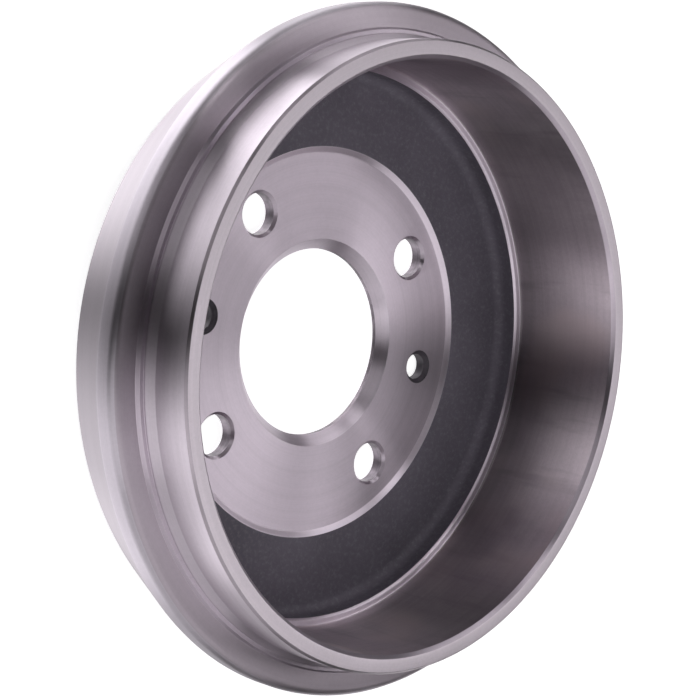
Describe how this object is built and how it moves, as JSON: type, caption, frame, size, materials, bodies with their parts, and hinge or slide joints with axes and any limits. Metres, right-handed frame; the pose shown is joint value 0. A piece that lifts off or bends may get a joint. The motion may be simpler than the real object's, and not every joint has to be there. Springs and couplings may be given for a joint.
{
  "type": "brake drum",
  "caption": "Cast-iron brake drum, turned inside, with a stiffening flange and thin lip at the open end and a closed side with hub bore, wheel bolt holes and retaining screw holes.",
  "frame": {"origin": "centre of the wheel face, on the drum's axis", "axes": "+Z along the drum's axis from the closed wheel side to the open end; the two retaining screw holes lie on X"},
  "size_m": [0.2136, 0.2136, 0.0545],
  "materials": {
    "cast_iron": "turned"
  },
  "bodies": {
    "root": {"brake_drum": "cast_iron"}
  },
  "joints": []
}
